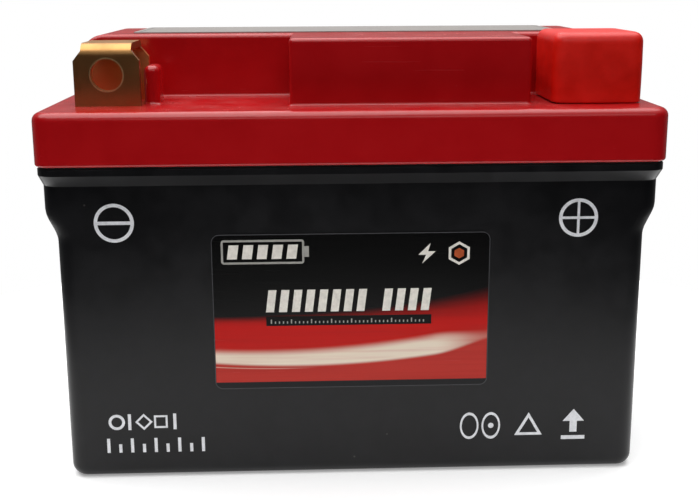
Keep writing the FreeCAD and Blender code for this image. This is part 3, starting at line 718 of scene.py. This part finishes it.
class FrontPrint:
    """Flat shapes printed on an upright face that looks along -Y, in millimetres from left and top."""

    def __init__(self, face_y, lift, left=0.0, top=0.0):
        self.bm = bmesh.new()
        self.back = face_y
        self.front = face_y - lift
        self.left = left
        self.top = top

    def corner(self, across, up, depth):
        return self.bm.verts.new(((self.left + across) * MM, depth, (self.top + up) * MM))

    def solid(self, points):
        """A thin plate with the given outline."""
        front = [self.corner(x, z, self.front) for x, z in points]
        back = [self.corner(x, z, self.back) for x, z in points]
        self.bm.faces.new(front)
        self.bm.faces.new(back[::-1])
        for number in range(len(points)):
            following = (number + 1) % len(points)
            self.bm.faces.new((front[number], back[number], back[following], front[following]))

    def bar(self, x0, x1, z0, z1, slant=0.0):
        self.solid([(x0, z0), (x1, z0), (x1 + slant, z1), (x0 + slant, z1)])

    def row(self, first, pitch, width, low, heights, slant=0.0):
        """Bars side by side with the given heights; None leaves a gap."""
        for number, height in enumerate(heights):
            if height:
                start = first + number * pitch
                self.bar(start, start + width, low, low + height, slant)

    def band(self, outer, inner):
        """A thin closed line between two outlines with the same number of points."""
        rings = []
        for points in (outer, inner):
            rings.append([self.corner(x, z, self.front) for x, z in points])
            rings.append([self.corner(x, z, self.back) for x, z in points])
        outer_front, outer_back, inner_front, inner_back = rings
        for number in range(len(outer)):
            following = (number + 1) % len(outer)
            for one, other in ((outer_front, inner_front), (inner_front, inner_back),
                               (inner_back, outer_back), (outer_back, outer_front)):
                self.bm.faces.new((one[number], one[following], other[following], other[number]))

    def ring(self, x, z, radius, line, sides=64, turn=0.0, stretch=1.0):
        outlines = []
        for size in (radius + line / 2, radius - line / 2):
            outlines.append([(x + size * stretch * math.cos(turn + math.tau * k / sides),
                              z + size * math.sin(turn + math.tau * k / sides))
                             for k in range(sides)])
        self.band(*outlines)

    def disc(self, x, z, radius, sides=32, turn=0.0):
        self.solid([(x + radius * math.cos(turn + math.tau * k / sides),
                     z + radius * math.sin(turn + math.tau * k / sides)) for k in range(sides)])

    def frame(self, x0, x1, z0, z1, line, corner):
        outlines = []
        for inset in (0.0, line):
            outlines.append(rounded_outline(x0 + inset, x1 - inset, z0 + inset, z1 - inset,
                                            max(corner - inset, 0.05)))
        self.band(*outlines)

    def finish(self, name, material):
        return finish_mesh(self.bm, name, material)


def label_print(lift):
    """Shapes printed on the front label, placed from its left and top edges."""
    return FrontPrint(LABEL_LOW.y, lift, LABEL_LOW.x / MM, LABEL_HIGH.z / MM)


def rounded_outline(x0, x1, z0, z1, radius, steps=6):
    """Points round a rectangle with round corners."""
    points = []
    centres = ((x1 - radius, z1 - radius, 0.0), (x0 + radius, z1 - radius, 90.0),
               (x0 + radius, z0 + radius, 180.0), (x1 - radius, z0 + radius, 270.0))
    for x, z, start in centres:
        for step in range(steps + 1):
            angle = math.radians(start + 90.0 * step / steps)
            points.append((x + radius * math.cos(angle), z + radius * math.sin(angle)))
    return points


def soft_box(low, high, corner, cuts):
    """A box with evenly rounded edges, open below, as a bmesh of small quads."""
    bm = bmesh.new()
    bmesh.ops.create_cube(bm, size=1.0)
    bmesh.ops.subdivide_edges(bm, edges=bm.edges, cuts=cuts, use_grid_fill=True)
    middle = (low + high) / 2
    half = (high - low) / 2
    core = Vector((half.x - corner, half.y - corner, half.z - corner))
    for vert in bm.verts:
        place = Vector((vert.co.x * 2 * half.x, vert.co.y * 2 * half.y, vert.co.z * 2 * half.z))
        kept = Vector((max(-core.x, min(core.x, place.x)), max(-core.y, min(core.y, place.y)),
                       max(-half.z, min(core.z, place.z))))
        out = place - kept
        vert.co = middle + (kept + out.normalized() * corner if out.length > 1e-9 else place)
    floor = low.z + 1e-6
    bmesh.ops.delete(bm, geom=[f for f in bm.faces if all(v.co.z < floor for v in f.verts)],
                     context="FACES")
    return bm


# Operators

class BATTERY_OT_shared_effects(bpy.types.Operator):
    """Build the shader groups that several finishes use"""
    bl_idname = "battery.shared_effects"
    bl_label = "Shared Effects"

    def execute(self, context):
        for build in SHARED_EFFECTS:
            build()
        return {"FINISHED"}


class BATTERY_OT_case(bpy.types.Operator):
    """Give the case its black moulded plastic"""
    bl_idname = "battery.case"
    bl_label = "Case"

    def execute(self, context):
        colours = context.scene.battery_colours
        finish = context.scene.battery_finish
        dress(moulded_plastic("Black moulded plastic", colours.case, finish.case_roughness,
                              dust=finish.dust, specks=0.22, worn=0.35, gloss=0.28), "case")
        return {"FINISHED"}


class BATTERY_OT_lid(bpy.types.Operator):
    """Give the lid its glossy red plastic, and its seals their compounds"""
    bl_idname = "battery.lid"
    bl_label = "Lid and Seals"

    def execute(self, context):
        colours = context.scene.battery_colours
        finish = context.scene.battery_finish
        dress(moulded_plastic("Red moulded plastic", colours.lid, finish.lid_roughness,
                              dust=finish.dust, specks=0.05, worn=0.2, tone=0.04, wave=0.06), "lid")
        dress(moulded_plastic("Black sealing bead", (0.006, 0.006, 0.006), 0.6, tone=0.4), "lid_seal")
        dress(moulded_plastic("Cast potting", (0.03, 0.03, 0.034), 0.3, tone=0.4), "terminal_potting")
        return {"FINISHED"}


class BATTERY_OT_terminals(bpy.types.Operator):
    """Give both terminals their stamped brass"""
    bl_idname = "battery.terminals"
    bl_label = "Terminals"

    def execute(self, context):
        colours = context.scene.battery_colours
        finish = context.scene.battery_finish
        brass = metal("Stamped brass", colours.brass, colours.tarnish, finish.brass_roughness,
                      lines=(60.0, 1.0, 1.0), tarnish=0.55, bump=0.05,
                      painted_light_parts=terminal_painted_light)
        dress(brass, "negative_terminal", "positive_terminal")
        return {"FINISHED"}


class BATTERY_OT_cap(bpy.types.Operator):
    """Build the soft cap over the positive terminal"""
    bl_idname = "battery.cap"
    bl_label = "Positive Cap"

    def execute(self, context):
        size = context.scene.battery_cap
        inset = Vector((size.waviness, size.waviness, 0.0))
        low = CAP_LOW + inset
        high = CAP_HIGH - Vector((size.waviness, size.waviness, CAP_TOP_CLEAR))
        bm = soft_box(low, high, size.corner, CAP_CUTS)
        middle = (low + high) / 2
        for vert in bm.verts:
            outward = Vector((vert.co.x - middle.x, vert.co.y - middle.y, 0.0)).normalized()
            wander = sum(share * noise.noise(vert.co * close) for close, share in CAP_WAVES)
            height = (vert.co.z - low.z) / (high.z - low.z)
            vert.co += outward * wander * size.waviness * (1.0 - CAP_CALM_TOP * height)
            inner = 1.0 - min(1.0, max(0.0, (vert.co.x - low.x) / HEEL_REACH))
            if height < HEEL_TOP:
                vert.co.z += size.heel * inner * inner * (1.0 - height / HEEL_TOP) ** 2
        vinyl = vinyl_material(context.scene.battery_colours, context.scene.battery_finish)
        made = finish_mesh(bm, "soft_cap", vinyl, body="cap", smooth=True)
        wall = made.modifiers.new("Wall", "SOLIDIFY")
        wall.thickness = size.wall
        wall.offset = -1.0
        lip = made.modifiers.new("Lip", "BEVEL")
        lip.width = LIP_WIDTH
        lip.segments = 3
        lip.angle_limit = math.radians(50.0)
        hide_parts("positive_cap")
        return {"FINISHED"}


class BATTERY_OT_front_label(bpy.types.Operator):
    """Print the front label and lay plain graphic shapes on it"""
    bl_idname = "battery.front_label"
    bl_label = "Front Label"

    def execute(self, context):
        colours = context.scene.battery_colours
        lift = context.scene.battery_print.ink_lift
        plate = FrontPrint(CASE_FRONT, CASE_FRONT - LABEL_LOW.y)
        plate.solid(rounded_outline(LABEL_LOW.x / MM, LABEL_HIGH.x / MM, LABEL_LOW.z / MM,
                                    LABEL_HIGH.z / MM, LABEL_CORNER, steps=10))
        made = plate.finish("front_label_film", label_film_material(colours))
        edge = made.modifiers.new("Pressed edge", "BEVEL")
        edge.width = FILM_EDGE * MM
        edge.segments = 2
        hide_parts("front_label")

        pale = ink("Cream ink", (0.92, 0.88, 0.80))
        grey = ink("Grey ink", (0.42, 0.41, 0.38))
        cell = label_print(lift)
        cell.frame(*CELL_OUTLINE, CELL_LINE, corner=0.5)
        cell.bar(*CELL_NUB)
        cell.finish("label_cell_outline", grey)
        charge = label_print(lift)
        charge.row(2.7, 2.55, 1.7, -4.4, CHARGE_HEIGHTS, slant=0.35)
        charge.finish("label_charge_bars", pale)
        heading = label_print(lift)
        heading.row(TEXT_LEFT, 2.25, 1.4, -14.0, HEADING_HEIGHTS, slant=0.5)
        heading.finish("label_heading_bars", pale)
        strip = label_print(lift)
        strip.bar(*STRIP_BOX)
        strip.finish("label_strip", ink("Black ink", (0.005, 0.005, 0.005)))
        ticks = label_print(lift * 1.6)
        ticks.row(10.0, 0.7, 0.22, -16.1, TICK_HEIGHTS)
        ticks.finish("label_strip_ticks", grey)
        marks = label_print(lift)
        marks.solid([(BOLT_PLACE[0] + x, BOLT_PLACE[1] + z) for x, z in BOLT])
        marks.ring(*HEXAGON_PLACE, 1.85, 0.5, sides=6, turn=HEXAGON_TURN)
        marks.finish("label_small_marks", pale)
        core = label_print(lift)
        core.disc(*HEXAGON_PLACE, 0.95, sides=6, turn=HEXAGON_TURN)
        core.finish("label_small_core", ink("Orange ink", (0.52, 0.10, 0.03)))
        return {"FINISHED"}


class BATTERY_OT_top_label(bpy.types.Operator):
    """Print the pale film on the raised lid"""
    bl_idname = "battery.top_label"
    bl_label = "Top Label"

    def execute(self, context):
        dress(top_film_material(), "top_label")
        return {"FINISHED"}


class BATTERY_OT_printed_marks(bpy.types.Operator):
    """Print the polarity marks and the small plain symbols on the case"""
    bl_idname = "battery.printed_marks"
    bl_label = "Printed Marks"

    def execute(self, context):
        size = context.scene.battery_print
        grey = ink("Pale grey ink", context.scene.battery_colours.ink)
        radius = size.ring_radius / MM
        up = size.mark_z / MM

        minus = FrontPrint(CASE_FRONT, size.ink_lift)
        x = size.minus_x / MM
        line = size.minus_line / MM
        minus.ring(x, up, radius, line)
        inside = radius - line / 2
        minus.bar(x - inside, x + inside, up - line / 2, up + line / 2)
        minus.finish("minus_mark", grey)

        plus = FrontPrint(CASE_FRONT, size.ink_lift)
        x = size.plus_x / MM
        plus.ring(x, up, radius, line)
        half = size.plus_line / MM / 2
        plus.solid([(x - half, up - inside), (x + half, up - inside), (x + half, up - half),
                    (x + inside, up - half), (x + inside, up + half), (x + half, up + half),
                    (x + half, up + inside), (x - half, up + inside), (x - half, up + half),
                    (x - inside, up + half), (x - inside, up - half), (x - half, up - half)])
        plus.finish("plus_mark", grey)

        codes = FrontPrint(CASE_FRONT, size.ink_lift)
        middle = CODE_Z + CODE_HEIGHT / 2
        for x, reach, sides, turn in CODE_RINGS:
            codes.ring(x, middle, reach, SYMBOL_LINE, sides, turn)
        for x in CODE_BARS_X:
            codes.bar(x, x + CODE_BAR, CODE_Z, CODE_Z + CODE_HEIGHT)
        codes.row(RATING_PLACE[0], RATING_PITCH, CODE_BAR, RATING_PLACE[1], RATING_HEIGHTS)
        codes.finish("rating_shapes", grey)

        symbols = FrontPrint(CASE_FRONT, size.ink_lift)
        for x in ROUNDS_X:
            symbols.ring(x, SYMBOL_Z, ROUND_RADIUS, SYMBOL_LINE, stretch=ROUND_STRETCH)
        symbols.disc(ROUNDS_X[1], SYMBOL_Z, 0.5)
        symbols.ring(TRIANGLE_X, SYMBOL_Z - 0.5, TRIANGLE_RADIUS, 1.0, sides=3, turn=math.tau / 4)
        symbols.solid([(ARROW_X + x, SYMBOL_Z + z) for x, z in ARROW])
        left, right, low, high = ARROW_BASE
        symbols.bar(ARROW_X + left, ARROW_X + right, SYMBOL_Z + low, SYMBOL_Z + high)
        symbols.finish("handling_symbols", grey)
        return {"FINISHED"}


class BATTERY_OT_cells(bpy.types.Operator):
    """Give the cells their foil, and their pads their foam"""
    bl_idname = "battery.cells"
    bl_label = "Cells and Pads"

    def execute(self, context):
        cells = [name for name in NODES if name.startswith("cell_") and name[5:].isdigit()]
        dress(pouch_foil(), *cells)
        dress(foam("Packing foam", (0.06, 0.06, 0.065)), "cell_spacers", "side_pads", "end_pads",
              "base_pad")
        return {"FINISHED"}


class BATTERY_OT_conductors(bpy.types.Operator):
    """Give the tabs, links, straps and rivets their metals"""
    bl_idname = "battery.conductors"
    bl_label = "Conductors"

    def execute(self, context):
        nickel = metal("Nickel strip", (0.66, 0.62, 0.56), (0.40, 0.37, 0.33), 0.34)
        copper = metal("Copper strip", (0.86, 0.42, 0.26), (0.38, 0.15, 0.08), 0.32)
        rivets = metal("Turned brass", (0.80, 0.60, 0.30), (0.42, 0.28, 0.12), 0.28)
        tin = metal("Tinned wire", (0.74, 0.73, 0.70), (0.5, 0.49, 0.46), 0.3)
        dress(nickel, "cell_tabs", "series_links")
        dress(copper, "negative_strap", "positive_strap")
        dress(rivets, "strap_rivets")
        dress(tin, "sense_pins")
        return {"FINISHED"}


class BATTERY_OT_balance_board(bpy.types.Operator):
    """Give the balance board and what stands round it their finishes"""
    bl_idname = "battery.balance_board"
    bl_label = "Balance Board"

    def execute(self, context):
        dress(board_material(), "balance_board")
        dress(moulded_plastic("White moulded plate", (0.62, 0.61, 0.57), 0.45, tone=0.08),
              "cell_frame")
        dress(moulded_plastic("Nylon", (0.70, 0.68, 0.60), 0.5, tone=0.06), "board_posts")
        dress(metal("Plated screws", (0.62, 0.62, 0.63), (0.4, 0.4, 0.38), 0.3), "board_screws")
        dress(moulded_plastic("Chip epoxy", (0.012, 0.012, 0.013), 0.5, grain=0.6, tone=0.3),
              "switch_transistors", "control_chip")
        dress(moulded_plastic("Coated resistor", (0.016, 0.016, 0.02), 0.35, tone=0.3),
              "bleed_resistors")
        return {"FINISHED"}


class BATTERY_OT_stage(bpy.types.Operator):
    """Build the pale floor, the soft lights and the camera"""
    bl_idname = "battery.stage"
    bl_label = "Stage"

    def execute(self, context):
        stage = context.scene.battery_stage
        floor = build_floor()
        build_world()
        for name, power, size, place in LIGHTS:
            area_light(name, getattr(stage, power), size, Vector(place))
        build_camera(stage)
        context.scene.view_settings.view_transform = "Standard"
        return {"FINISHED"}


def build_floor():
    """A round pale sheet."""
    bm = bmesh.new()
    bmesh.ops.create_circle(bm, cap_ends=True, segments=96, radius=FLOOR_RADIUS)
    made, tree, shader = new_material("Pale floor", roughness=0.9, glow=WHITE,
                                      glow_strength=FLOOR_GLOW)
    grain = tree.noise(tree.place(), 40.0)
    tree.put(shader.inputs["Base Color"], tree.mix(grain, FLOOR_GREY, FLOOR_PALE))
    return add_mesh(bm, "floor", made)


def build_world():
    """Bright above, dim behind the battery and dark in front of it, and plain white to the camera."""
    world = bpy.data.worlds.new("Studio")
    world.use_nodes = True
    tree = Tree(world.node_tree)
    shine = world.node_tree.nodes["Background"]
    parts = tree.parts(tree.node("ShaderNodeTexCoord").outputs["Generated"])
    dim = tree.mix(tree.smooth(parts["Y"], -0.3, 0.6), STUDIO_FRONT, STUDIO_BACK)
    dim = tree.mix(tree.smooth(parts["Z"], 0.45, 0.9), dim, STUDIO_TOP)
    seen = tree.node("ShaderNodeLightPath").outputs["Is Camera Ray"]
    tree.put(shine.inputs["Color"], tree.mix(seen, dim, WHITE))
    bpy.context.scene.world = world


def area_light(name, power, size, place):
    """A soft rectangular light that looks at the battery's middle."""
    data = bpy.data.lights.new(name, "AREA")
    data.shape = "RECTANGLE"
    data.size, data.size_y = size
    data.energy = power
    made = add_object(name, data)
    made.location = place
    towards = (LOW + HIGH) / 2 - place
    made.rotation_euler = towards.to_track_quat("-Z", "Y").to_euler()


def build_camera(stage):
    data = bpy.data.cameras.new("camera")
    data.lens = stage.lens
    data.shift_y = stage.shift
    data.clip_start = 0.005
    made = add_object("camera", data)
    made.location = (stage.camera_x, stage.camera_y, stage.camera_z)
    forward = Vector((math.sin(stage.yaw) * math.cos(stage.pitch),
                      math.cos(stage.yaw) * math.cos(stage.pitch), -math.sin(stage.pitch)))
    turn = forward.to_track_quat("-Z", "Y").to_matrix()
    right, up = turn.col[0].copy(), turn.col[1].copy()
    cosine, sine = math.cos(stage.roll), math.sin(stage.roll)
    turn.col[0] = right * cosine + up * sine
    turn.col[1] = up * cosine - right * sine
    made.rotation_euler = turn.to_euler()
    bpy.context.scene.camera = made


class BATTERY_PT_panel(bpy.types.Panel):
    """Battery finishes in the 3D view's sidebar"""
    bl_idname = "BATTERY_PT_panel"
    bl_label = "Battery"
    bl_space_type = "VIEW_3D"
    bl_region_type = "UI"
    bl_category = "Battery"

    def draw(self, context):
        for group in SETTINGS:
            settings = getattr(context.scene, group)
            for name in settings.__annotations__:
                self.layout.prop(settings, name)
        for step in STEPS:
            self.layout.operator(step.bl_idname)


SETTINGS = {
    "battery_colours": BatteryColours,
    "battery_finish": BatteryFinish,
    "battery_print": BatteryPrint,
    "battery_cap": BatteryCap,
    "battery_stage": BatteryStage,
}
STEPS = (
    BATTERY_OT_shared_effects,
    BATTERY_OT_case,
    BATTERY_OT_lid,
    BATTERY_OT_terminals,
    BATTERY_OT_cap,
    BATTERY_OT_front_label,
    BATTERY_OT_top_label,
    BATTERY_OT_printed_marks,
    BATTERY_OT_cells,
    BATTERY_OT_conductors,
    BATTERY_OT_balance_board,
    BATTERY_OT_stage,
)


def register():
    for name, group in SETTINGS.items():
        bpy.utils.register_class(group)
        setattr(bpy.types.Scene, name, bpy.props.PointerProperty(type=group))
    for step in STEPS:
        bpy.utils.register_class(step)
    bpy.utils.register_class(BATTERY_PT_panel)


def unregister():
    bpy.utils.unregister_class(BATTERY_PT_panel)
    for step in reversed(STEPS):
        bpy.utils.unregister_class(step)
    for name, group in reversed(SETTINGS.items()):
        delattr(bpy.types.Scene, name)
        bpy.utils.unregister_class(group)


def main():
    register()
    for step in STEPS:
        family, name = step.bl_idname.split(".")
        getattr(getattr(bpy.ops, family), name)()


if __name__ == "__main__":
    main()
